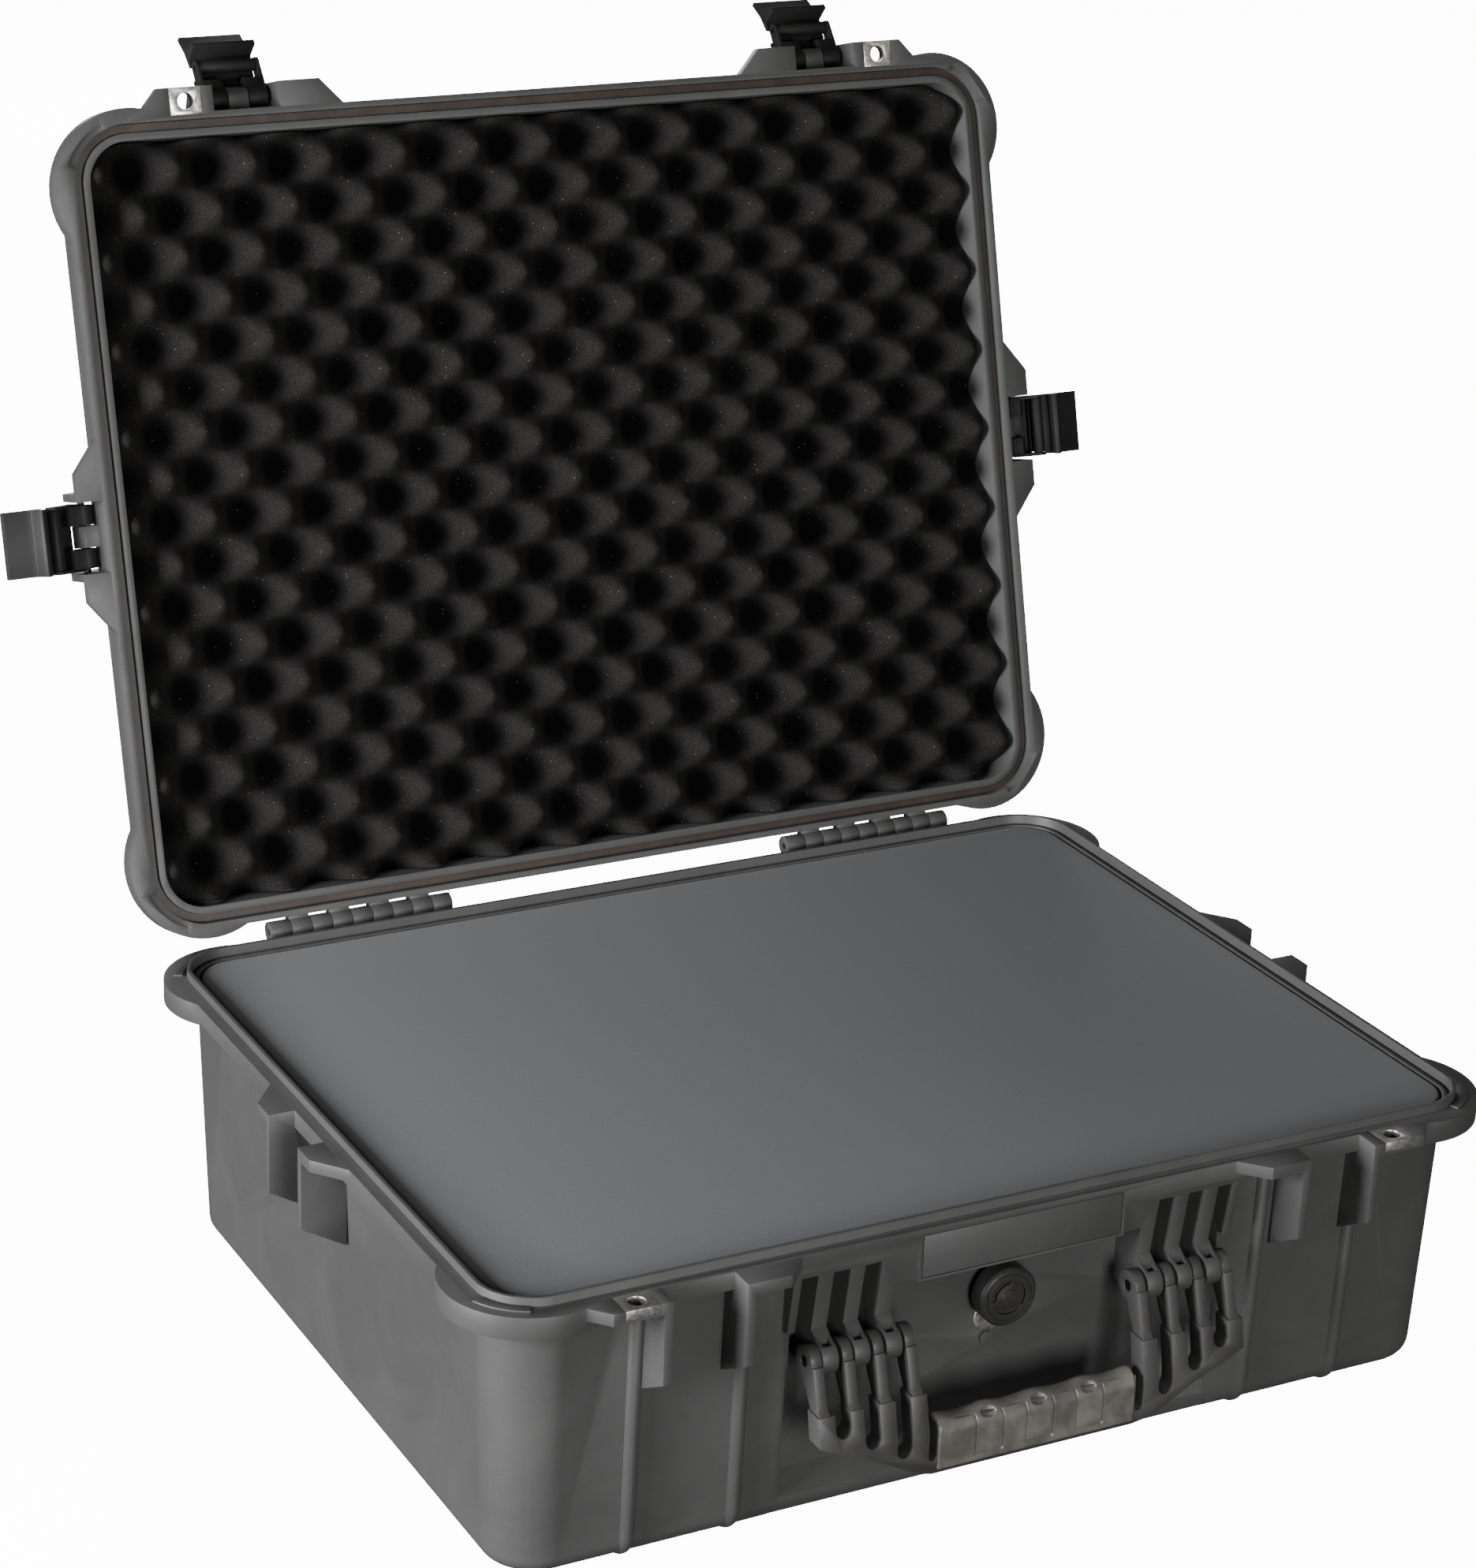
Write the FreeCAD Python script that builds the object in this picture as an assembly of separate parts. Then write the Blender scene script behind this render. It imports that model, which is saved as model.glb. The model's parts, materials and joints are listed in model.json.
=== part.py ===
import FreeCAD, Part
import math
import os

"""Hard equipment case with an opened lid, foam inserts, four draw latches and a fold-down handle.

X runs along the width, -Y is the front, +Z is up. The origin is at the centre of the base's opening in
plan, level with the bottom ribs. The lid is drawn closed and then turned open about the hinge.
"""

V = FreeCAD.Vector
X_AXIS = V(1, 0, 0)
Y_AXIS = V(0, 1, 0)
Z_AXIS = V(0, 0, 1)

# ---- overall sizes -------------------------------------------------------------------------------
OPENING_X = 546.0          # clear opening, width
OPENING_Y = 420.0          # clear opening, depth
OPENING_R = 22.5           # vertical corner radius of the opening
BASE_H = 156.0             # rib bottoms to the flange plane
LID_H = 64.0               # flange plane to the tops of the lid's ribs
WALL = 3.5                 # moulded wall
DRAFT = 0.035              # inward lean of the walls per mm of height
BOTTOM_R = 10.0            # rounding between walls and bottom
RUN_GAP = 0.05             # radial clearance of a pin that turns in a hole
SEAT_GAP = 0.3             # clearance between parts that come together
LID_OPEN_DEG = 105.2       # lid angle at rest

# ---- flange ----------------------------------------------------------------------------------------
FLANGE_OUT = 13.0          # flange edge beyond the opening
FLANGE_T = 9.5
EAR_R = 43.5               # corner ears
EAR_H = 12.0
EAR_REACH = 7.5            # ear beyond the flange edge
PAD_RISE = 0.8             # raised arc on each ear
PAD_R = 38.0
PAD_WIDTH = 5.0
LIP_W = 2.5                # inner lip beside the seal groove
LIP_DROP = 0.3
GROOVE_DEPTH = 2.0
TONGUE_IN = 4.3            # tongue's inner face beyond the opening
TONGUE_T = 2.3
TONGUE_H = 4.5
CHANNEL_IN = 3.9           # lid channel's inner face beyond the opening
CHANNEL_W = 5.1
CHANNEL_DEPTH = 7.0
RIM_DROP = 2.2             # lid's inner rim below the lid's flange face
SEAL_T = 2.0
SEAL_SIDE = 0.35

# ---- ribs under the base and over the lid --------------------------------------------------------
RIB_X = (149.0, 206.5)
RIB_W = 8.0
RIB_PROUD = 3.0
REST_HALF = (60.0, 90.0)   # flat rest panel between the base's ribs, half width and half depth

# ---- latches and the lugs beside them --------------------------------------------------------------
LATCH_X = 180.0            # front latches, either side of the middle
LATCH_OUT = 7.0            # latch pivot beyond the flange edge
PIVOT_UP = 19.0            # latch pivot above the flange plane, lid closed
SLOT_HALF = 19.5
LUG_REACH = 14.0           # lug beyond the flange edge
LUG_T = 6.5
LUG_CHEEK = 4.5            # cheek plate beside the slot
FRONT_LUG_IN = (43.0, 56.0)     # flat end and slope end from the slot's middle, towards the centre
FRONT_LUG_OUT = (50.5, 63.0)    # the same, towards the corner
SIDE_LUG = (35.0, 53.0)
BASE_CHEEK = (44.0, 58.0)  # cheek depth at its outer edge and at the wall
LID_CHEEK = (27.0, 42.0)
TONGUE_LUG_HALF = 5.8      # lid's middle lug between the latch's knuckles
LATCH_PIN_R = 2.0
LATCH_KNUCKLE_R = 6.0
LINK_ARM = (6.5, 17.2)     # link's arms, inner and outer side from the middle
LINK_ARM_END = 11.5        # along the latch from the pivot, as are the next sizes
LINK_PLATE = (4.0, 17.5)
LINK_EAR = (16.6, 18.4)    # ears that carry the second pin, inner and outer side
LINK_EAR_R = 4.0
BAR_U = 20.0               # second pivot
BAR_IN = 2.6               # second pivot, towards the case
BAR_R = 3.6
BAR_HALF = 16.3
BAR_PIN_R = 1.6
LEVER_HALF_W = 18.2
LEVER_TOP = 15.6
LEVER_WIDE = 25.0
TOOTH_U = 28.7
TOOTH_IN = 9.6
TOOTH_T = 4.0
TIP_U = 47.3
SIDE_LATCH_REST = 73.0     # opened angles at rest
FRONT_LATCH_REST = 124.0

# ---- hinges ------------------------------------------------------------------------------------------
HINGE_OUT = 7.3            # hinge axis beyond the flange edge
HINGE_UP = 2.0             # hinge axis above the flange plane
HINGE_R = 6.0
HINGE_X = 163.0            # middle of each hinge
HINGE_KNUCKLES = 9
KNUCKLE_W = 12.2
KNUCKLE_GAP = 0.35
HINGE_PIN_R = 2.0

# ---- hand recess and vent valve ------------------------------------------------------------------
RECESS_HALF = 71.0
RECESS_TOP = 28.0          # below the flange plane
RECESS_DEPTH = 15.0        # behind the wall's line at the flange plane
RECESS_LOW = 130.0         # below this the recess slopes out to the wall
RECESS_WIDE = 124.5        # half width below the handle's knuckles
BUMP_HALF = 128.0          # inner side of the recess
BUMP_TOP = 8.0
VALVE_DOWN = 54.4
VALVE_R = 16.2
VALVE_OUT = 15.0           # knob face in front of the recess wall
KNOB_T = 10.0
STEM_R = 4.2
BUTTON_R = 4.6
ARC_SLOT = (7.4, 9.4)      # inner and outer radius of the knob's arc slots
ARC_BRIDGE = 3.0
VENT_X = -4.0
VENT_DOWN = 70.0
VENT_R = 8.5
VENT_T = 2.5
VENT_TAB_R = 3.5           # round tab under the vent disc

# ---- name plate ------------------------------------------------------------------------------------
PLATE_HALF = 57.0
PLATE_TOP = 3.5
PLATE_BOTTOM = 26.4
PLATE_T = 2.0
PLATE_SEAM = 0.35
BOSS_EDGE = 2.2

# ---- handle ------------------------------------------------------------------------------------------
HANDLE_OUT = 9.0           # handle pivot in front of the wall's line at the flange plane
HANDLE_DOWN = 57.0
BASE_KNUCKLES = ((71.0, 79.5), (88.9, 97.1), (106.2, 114.7))
BASE_KNUCKLE_R = 8.5
KNUCKLE_NOTCH = 5.0
ARM_X = (66.5, 84.0, 101.0, 118.2)
ARM_W = 5.6
ARM_LOW_W = 8.2
ARM_R = 8.0
HANDLE_PIN_R = 3.0
MOUNT_SPAN = (59.0, 127.8)
MOUNT_FACE = 3.5           # foot of the mount's face in front of the wall's line
MOUNT_LOW = 44.0
MOUNT_CHEEK = 123.6        # inner side of the outer cheek
SLOT_TOP = 12.5            # top of the mount's slots
# outlines seen from the side, in front of (-) and above (+) the handle's pivot
ARM_SIDE = ((-9.5, 0), (-15, -19), (-19, -22.5), (-19.6, -25), (-9, -25), (-8, -22), (-2, -12), (2, -3), (2, 0))
FRAME_SIDE = ((-19, -22), (-23.7, -42), (-23.7, -63), (-21, -67), (-12.7, -67), (-12.7, -45), (-8, -22))
FRAME_TOP = 22.0           # below the pivot
HANDLE_FACE = 23.7         # lower face in front of the pivot
HANDLE_T = 11.0
GRIP_HALF = 57.0
GRIP_TOP = 35.5            # below the pivot
GRIP_LOW = 63.5
BAR_TOP = 38.5
BAR_LOW = 67.0
BAR_INSET = 2.6            # core of the bar behind the grip's faces
SLOT_ENDS = ((75.4, 52.6), (93.0, 43.0), (108.8, 34.5))
FINGER_SLOT = (59.5, 58.0)

# ---- padlock plates ----------------------------------------------------------------------------------
LOCK_X = 215.3
LOCK_OUT = 6.3             # hole centre beyond the flange edge
LOCK_HOLE_R = 4.5
LOCK_HALF_W = 9.1
LOCK_T = 1.8
LOCK_FOLD = 5.0
LOCK_IN = 1.0              # plate's inner edge behind the flange edge
LOCK_FIT = 0.15

# ---- foam --------------------------------------------------------------------------------------------
FOAM_GAP = 1.2
FOAM_DROP = 0.5
FOAM_SPLIT = (50.0, 100.0)
FOAM_CLEAR = 3.0
LAYER_GAP = 0.3
LID_FOAM_FACE = 1.2        # lid foam's face above the flange plane

# ---- worked out --------------------------------------------------------------------------------------
TOP = BASE_H
HX = OPENING_X / 2
HY = OPENING_Y / 2
EDGE_X = HX + FLANGE_OUT
EDGE_Y = HY + FLANGE_OUT - 0.5
WALL_X = HX + WALL
WALL_Y = HY + WALL
WALL_R = OPENING_R + WALL + 7.0
HINGE_Y = EDGE_Y + HINGE_OUT
HINGE_Z = TOP + HINGE_UP
RIB_R = (RIB_W ** 2 / 4 + RIB_PROUD ** 2) / (2 * RIB_PROUD)
RECESS_Y = -(WALL_Y - RECESS_DEPTH)
HANDLE_Y = -(WALL_Y + HANDLE_OUT)
HANDLE_Z = TOP - HANDLE_DOWN
LATCHES = {
    "left": (V(-EDGE_X - LATCH_OUT, 0, TOP), -90.0, SIDE_LATCH_REST),
    "right": (V(EDGE_X + LATCH_OUT, 0, TOP), 90.0, SIDE_LATCH_REST),
    "front_left": (V(-LATCH_X, -EDGE_Y - LATCH_OUT, TOP), 0.0, FRONT_LATCH_REST),
    "front_right": (V(LATCH_X, -EDGE_Y - LATCH_OUT, TOP), 0.0, FRONT_LATCH_REST),
}


def box(x0, x1, y0, y1, z0, z1):
    """A block between two corners."""
    low = V(min(x0, x1), min(y0, y1), min(z0, z1))
    return Part.makeBox(abs(x1 - x0), abs(y1 - y0), abs(z1 - z0), low)


def rounded(hx, hy, r, z):
    """A closed rounded rectangle of half sizes hx and hy at height z."""
    k = r * (1 - math.sqrt(0.5))
    edges = []
    corners = ((1, 1), (-1, 1), (-1, -1), (1, -1))
    for i, (sx, sy) in enumerate(corners):
        ends = [V(sx * hx, sy * (hy - r), z), V(sx * (hx - r), sy * hy, z)]
        if i % 2:
            ends.reverse()
        middle = V(sx * (hx - k), sy * (hy - k), z)
        edges.append(Part.Arc(ends[0], middle, ends[1]).toShape())
        nx, ny = corners[(i + 1) % 4]
        after = V(nx * (hx - r), ny * hy, z) if i % 2 == 0 else V(nx * hx, ny * (hy - r), z)
        edges.append(Part.LineSegment(ends[1], after).toShape())
    return Part.Wire(Part.__sortEdges__(edges))


def tub(hx, hy, r, z_wide, z_narrow):
    """A solid with rounded corners that leans inwards from z_wide to z_narrow."""
    lean = DRAFT * abs(z_narrow - z_wide)
    wide = rounded(hx, hy, r, z_wide)
    narrow = rounded(hx - lean, hy - lean, r - lean, z_narrow)
    return Part.makeLoft([wide, narrow], True, True)


def soften(shape, radius, z):
    """Fillet the edges that lie in the plane at height z."""
    edges = [e for e in shape.Edges if abs(e.BoundBox.ZMin - z) < 1e-6 and abs(e.BoundBox.ZMax - z) < 1e-6]
    return shape.makeFillet(radius, edges)


def slab(hx, hy, r, z0, z1):
    """A straight-sided rounded slab."""
    return Part.Face(rounded(hx, hy, r, min(z0, z1))).extrude(V(0, 0, abs(z1 - z0)))


def ring(inset, width, z0, z1):
    """A band that follows the opening, from inset to inset + width outside it."""
    outer = slab(HX + inset + width, HY + inset + width, OPENING_R + inset + width, z0, z1)
    return outer.cut(slab(HX + inset, HY + inset, OPENING_R + inset, z0 - 1, z1 + 1))


def prism_x(points, x0, x1):
    """Extrude a closed outline of (y, z) points from x0 to x1."""
    low = min(x0, x1)
    wire = Part.makePolygon([V(low, y, z) for y, z in points + points[:1]])
    return Part.Face(wire).extrude(V(abs(x1 - x0), 0, 0))


def prism_y(points, y0, y1):
    """Extrude a closed outline of (x, z) points from y0 to y1."""
    low = min(y0, y1)
    wire = Part.makePolygon([V(x, low, z) for x, z in points + points[:1]])
    return Part.Face(wire).extrude(V(0, abs(y1 - y0), 0))


def prism_z(points, z0, z1):
    """Extrude a closed outline of (x, y) points from z0 to z1."""
    low = min(z0, z1)
    wire = Part.makePolygon([V(x, y, low) for x, y in points + points[:1]])
    return Part.Face(wire).extrude(V(0, 0, abs(z1 - z0)))


def rod_x(r, x0, x1, y, z):
    """A cylinder along X."""
    return Part.makeCylinder(r, abs(x1 - x0), V(min(x0, x1), y, z), X_AXIS)


def rod_y(r, y0, y1, x, z):
    """A cylinder along Y."""
    return Part.makeCylinder(r, abs(y1 - y0), V(x, min(y0, y1), z), Y_AXIS)


def rod_z(r, z0, z1, x, y):
    """A cylinder along Z."""
    return Part.makeCylinder(r, abs(z1 - z0), V(x, y, min(z0, z1)), Z_AXIS)


def join(shapes):
    """Fuse shapes and clean the seams between them."""
    return shapes[0].multiFuse(list(shapes[1:])).removeSplitter()


def both_sides(shape):
    """A shape and its mirror across the middle plane."""
    return [shape, shape.mirror(V(0, 0, 0), X_AXIS)]


def turned(shape, centre, axis, degrees):
    """A copy of a shape turned about an axis through centre."""
    copy = shape.copy()
    copy.rotate(centre, axis, degrees)
    return copy


def at_latch(shape, name):
    """Move a shape from the latch's own frame (pivot line, inwards +Y) to its place on the edge."""
    where, spin, _ = LATCHES[name]
    copy = turned(shape, V(0, 0, 0), Z_AXIS, spin)
    copy.translate(where)
    return copy


def opened(shape):
    """Turn a lid part from closed to its rest pose."""
    return turned(shape, V(0, HINGE_Y, HINGE_Z), X_AXIS, -LID_OPEN_DEG)


# ---- pieces that both shells share -----------------------------------------------------------------

def ribs(z_plane, height, sign):
    """Half-round ribs that run down the front, across the outside and up the back."""
    z_far = z_plane + sign * (height - RIB_PROUD)
    sink = RIB_R - RIB_PROUD
    lean = DRAFT * (height - RIB_PROUD)
    front = -(WALL_Y - sink)
    near = V(0, front, z_plane + sign * FLANGE_T)
    corner = V(0, front + lean, z_far - sign * sink)
    turn = 3.0 * BOTTOM_R
    bend_in = corner + (near - corner).normalize() * turn * 0.4
    bend_out = corner + Y_AXIS * turn * 0.4
    towards = (bend_in + bend_out) * 0.5
    bend_mid = corner + (towards - corner) * 0.6
    half = [
        Part.LineSegment(near, bend_in).toShape(),
        Part.Arc(bend_in, bend_mid, bend_out).toShape(),
        Part.LineSegment(bend_out, V(0, 0, bend_out.z)).toShape(),
    ]
    path = Part.Wire(half)
    start = Part.Wire(Part.makeCircle(RIB_R, near, bend_in - near))
    front_rib = path.makePipeShell([start], True, False)
    rear_rib = front_rib.mirror(V(0, 0, 0), Y_AXIS)
    made = []
    for x in RIB_X:
        for side in (-1, 1):
            for rib in (front_rib, rear_rib):
                copy = rib.copy()
                copy.translate(V(side * x, 0, 0))
                made.append(copy)
    return made


def ears(z0, z1):
    """Round corner ears of the flange."""
    made = []
    for sx in (-1, 1):
        for sy in (-1, 1):
            x = sx * (EDGE_X + EAR_REACH - EAR_R)
            y = sy * (EDGE_Y + EAR_REACH - 2.5 - EAR_R)
            made.append(rod_z(EAR_R, z0, z1, x, y))
    return made


def ear_pads(z0, z1, grow):
    """Low arcs on the ears, or with grow the recesses that receive them."""
    made = []
    for sx in (-1, 1):
        for sy in (-1, 1):
            x = sx * (EDGE_X + EAR_REACH - EAR_R)
            y = sy * (EDGE_Y + EAR_REACH - 2.5 - EAR_R)
            outer = rod_z(PAD_R + grow, z0, z1, x, y)
            inner = rod_z(PAD_R - PAD_WIDTH - grow, z0 - 1, z1 + 1, x, y)
            far = 2 * EAR_R
            spread = math.radians(22)
            angle = math.atan2(sy, sx)
            wedge = [(x, y)]
            for step in (-1, 1):
                a = angle + step * (spread + grow / PAD_R)
                wedge.append((x + far * math.cos(a), y + far * math.sin(a)))
            made.append(outer.cut(inner).common(prism_z(wedge, z0, z1)))
    return made


def lugs(name, sign, cheek):
    """The lug plates and cheeks on both sides of a latch slot, in place."""
    side_in = SIDE_LUG if name in ("left", "right") else FRONT_LUG_IN
    side_out = SIDE_LUG if name in ("left", "right") else FRONT_LUG_OUT
    left_spec, right_spec = (side_out, side_in) if name == "front_left" else (side_in, side_out)
    out = LATCH_OUT - LUG_REACH
    edge = LATCH_OUT + 1.0
    deep = LATCH_OUT + FLANGE_OUT - WALL + 1.0
    made = []
    for side, (flat, slope) in ((-1, left_spec), (1, right_spec)):
        outline = [(side * SLOT_HALF, edge), (side * SLOT_HALF, out), (side * flat, out),
                   (side * slope, LATCH_OUT), (side * slope, edge)]
        made.append(prism_z(outline, 0, sign * LUG_T))
        profile = [(out, 0), (out, sign * cheek[0]), (deep, sign * cheek[1]), (deep, 0)]
        made.append(prism_x(profile, side * SLOT_HALF, side * (SLOT_HALF + LUG_CHEEK)))
    return [at_latch(shape, name) for shape in made]


def lock_pocket(z0, sign, grow):
    """The folded padlock plate, or with grow the room that it needs in the lug."""
    front = -(EDGE_Y + LUG_REACH)
    back = -(EDGE_Y - LOCK_IN)
    half = LOCK_HALF_W + grow
    flat = box(LOCK_X - half, LOCK_X + half, front, back + grow, z0, z0 + sign * (LOCK_T + grow))
    fold = box(LOCK_X - half, LOCK_X + half, front, front + LOCK_T + grow, z0, z0 + sign * (LOCK_FOLD + grow))
    return flat.fuse(fold).removeSplitter()


def lock_plate(z0, sign):
    """A steel padlock plate with its hole, on the right-hand side."""
    hole = rod_z(LOCK_HOLE_R, z0 - 10, z0 + 10, LOCK_X, -(EDGE_Y + LOCK_OUT))
    return lock_pocket(z0, sign, 0.0).cut(hole)


# ---- shells ------------------------------------------------------------------------------------------

def knuckle_spans():
    """The x ranges of one hinge's knuckles."""
    first = HINGE_X - HINGE_KNUCKLES * KNUCKLE_W / 2
    return [(first + i * KNUCKLE_W, first + (i + 1) * KNUCKLE_W) for i in range(HINGE_KNUCKLES)]


def hinge_knuckles(start, sign, bore):
    """Every second knuckle from start with its arm, on both hinges, and the bore through them."""
    made = []
    cut = []
    for i, (x0, x1) in enumerate(knuckle_spans()):
        if i % 2 != start:
            continue
        a = x0 + KNUCKLE_GAP / 2
        b = x1 - KNUCKLE_GAP / 2
        barrel = rod_x(HINGE_R, a, b, HINGE_Y, HINGE_Z)
        face = EDGE_Y - 1.0
        plane = TOP if sign < 0 else TOP + SEAT_GAP
        low = plane + sign * (FLANGE_T if sign < 0 else LUG_T)
        near_z = HINGE_Z + sign * HINGE_R * 0.8
        near_y = HINGE_Y + (HINGE_R * 0.6 if sign < 0 else -HINGE_R * 0.6)
        arm = [(face, plane), (HINGE_Y, plane), (near_y, near_z), (face, low)]
        made += [barrel, prism_x(arm, a, b)]
        cut.append(rod_x(bore, a - 1, b + 1, HINGE_Y, HINGE_Z))
    mirrored = [s.mirror(V(0, 0, 0), X_AXIS) for s in made]
    return made + mirrored, cut + [s.mirror(V(0, 0, 0), X_AXIS) for s in cut]


def handle_mounts():
    """The block and ribs with knuckles that carry the handle, right-hand side, and the cuts in them."""
    back = RECESS_Y + 1
    foot = -(WALL_Y + MOUNT_FACE)
    low = TOP - MOUNT_LOW
    block = [(back, TOP - 1), (-EDGE_Y, TOP - 1), (-EDGE_Y, TOP - FLANGE_T), (foot, low), (back, low)]
    rib = [(back, low + 1), (foot, low + 1), (foot, low), (HANDLE_Y - BASE_KNUCKLE_R * 0.86, HANDLE_Z + BASE_KNUCKLE_R * 0.5),
           (HANDLE_Y, HANDLE_Z), (HANDLE_Y, HANDLE_Z - BASE_KNUCKLE_R), (back, HANDLE_Z - BASE_KNUCKLE_R)]
    made = [prism_x(block, *MOUNT_SPAN)]
    cut = []
    for x0, x1 in BASE_KNUCKLES:
        made.append(prism_x(rib, x0, x1))
        made.append(rod_x(BASE_KNUCKLE_R, x0, x1, HANDLE_Y, HANDLE_Z))
        cut.append(rod_x(HANDLE_PIN_R, x0 - 1, x1 + 1, HANDLE_Y, HANDLE_Z))
        middle = (x0 + x1) / 2
        cut.append(box(middle - KNUCKLE_NOTCH / 2, middle + KNUCKLE_NOTCH / 2, HANDLE_Y - 4, HANDLE_Y + 1,
                       HANDLE_Z + 5.5, HANDLE_Z + BASE_KNUCKLE_R + 1))
    for (_, x0), x1 in zip(BASE_KNUCKLES, [span[0] for span in BASE_KNUCKLES[1:]] + [MOUNT_CHEEK]):
        cut.append(box(x0, x1, -EDGE_Y - 20, RECESS_Y, HANDLE_Z - BASE_KNUCKLE_R - 1, TOP - SLOT_TOP))
    return made, cut


def recess_cut(half, top):
    """The hand recess with its sloping floor, from top down, half as wide as given."""
    slope = 2 * RECESS_DEPTH
    outline = [(RECESS_Y, TOP - top), (RECESS_Y, TOP - RECESS_LOW), (RECESS_Y - slope, TOP - RECESS_LOW - slope),
               (RECESS_Y - slope, TOP - top)]
    return prism_x(outline, -half, half)


def base_shell():
    """The moulded lower half."""
    body = soften(tub(WALL_X, WALL_Y, WALL_R, TOP, RIB_PROUD), BOTTOM_R, RIB_PROUD)
    flange = slab(EDGE_X, EDGE_Y, EAR_R - 12, TOP - FLANGE_T, TOP)
    solids = [body, flange] + ears(TOP - EAR_H, TOP) + ribs(TOP, BASE_H, -1)
    solids += ear_pads(TOP - 1, TOP + PAD_RISE, 0.0)
    solids.append(ring(TONGUE_IN, TONGUE_T, TOP - 1, TOP + TONGUE_H))
    for name in LATCHES:
        solids += lugs(name, -1, BASE_CHEEK)
    knuckles, bores = hinge_knuckles(0, -1, HINGE_PIN_R)
    solids += knuckles
    mounts, mount_cuts = handle_mounts()
    for mount in mounts:
        solids += both_sides(mount)
    boss = PLATE_HALF + BOSS_EDGE
    solids.append(box(-boss, boss, -EDGE_Y, -(WALL_Y - WALL), TOP - PLATE_BOTTOM - BOSS_EDGE, TOP))
    rest_x, rest_y = REST_HALF
    solids.append(box(-rest_x, rest_x, -rest_y, rest_y, 0, RIB_PROUD + 1))
    cavity = tub(HX, HY, OPENING_R, TOP, RIB_PROUD + WALL)
    cavity = soften(cavity, BOTTOM_R - WALL, RIB_PROUD + WALL)
    cavity = cavity.fuse(slab(HX, HY, OPENING_R, TOP - 1, TOP + 1))
    wall_back = RECESS_Y + WALL
    middle = RECESS_HALF + WALL
    bump = box(-middle, middle, -WALL_Y, wall_back, RIB_PROUD, TOP - RECESS_TOP + WALL)
    side = box(RECESS_HALF, BUMP_HALF, -WALL_Y, wall_back, RIB_PROUD, TOP - BUMP_TOP)
    bump = join([bump] + both_sides(side)).common(tub(WALL_X, WALL_Y, WALL_R, TOP, RIB_PROUD))
    shell = join(solids).cut(cavity).fuse(bump)
    shell = shell.cut(ring(LIP_W, TONGUE_IN - LIP_W, TOP - GROOVE_DEPTH, TOP + 1))
    shell = shell.cut(ring(-1.0, LIP_W + 1.0, TOP - LIP_DROP, TOP + 1))
    plate_room = box(-PLATE_HALF - PLATE_SEAM, PLATE_HALF + PLATE_SEAM, -EDGE_Y - 1, -EDGE_Y + PLATE_T,
                     TOP - PLATE_BOTTOM - PLATE_SEAM, TOP - PLATE_TOP + PLATE_SEAM)
    cuts = bores + [plate_room, recess_cut(RECESS_HALF, RECESS_TOP),
                    recess_cut(RECESS_WIDE, HANDLE_DOWN + BASE_KNUCKLE_R + 0.5)]
    for cut in mount_cuts:
        cuts += both_sides(cut)
    room = lock_pocket(TOP, -1, LOCK_FIT)
    hole = rod_z(LOCK_HOLE_R + 0.3, TOP - 20, TOP + 1, LOCK_X, -(EDGE_Y + LOCK_OUT))
    cuts += both_sides(room) + both_sides(hole)
    shell = shell.cut(cuts)
    tab = rod_y(VENT_TAB_R, RECESS_Y - VENT_T, RECESS_Y + 1, VENT_X, TOP - VENT_DOWN - VENT_R - VENT_TAB_R - 0.5)
    shell = shell.fuse(tab).cut(rod_y(STEM_R, RECESS_Y - 1, wall_back + 1, 0, TOP - VALVE_DOWN))
    return shell.removeSplitter()


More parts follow.
